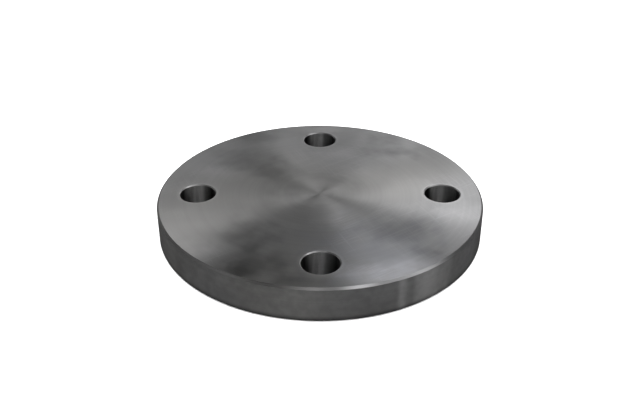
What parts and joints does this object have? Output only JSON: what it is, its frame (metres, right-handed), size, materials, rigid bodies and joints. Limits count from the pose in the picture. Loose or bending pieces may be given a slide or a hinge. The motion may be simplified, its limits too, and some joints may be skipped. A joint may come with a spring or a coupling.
{
  "type": "blind flange",
  "caption": "Flat round steel disc with bevelled edges and evenly spaced bolt holes, used to close the open end of a flanged pipe.",
  "frame": {"origin": "middle of the back face, on which the disc lies", "axes": "+Z along the disc's axis, from the back face to the gasket face; the first bolt hole is on +X and the next on +Y"},
  "size_m": [0.165, 0.165, 0.018],
  "materials": {
    "turned_steel": "bare carbon steel as it leaves the lathe, with fine circular tool marks"
  },
  "bodies": {
    "root": {"blind_flange": "turned_steel"}
  },
  "joints": []
}
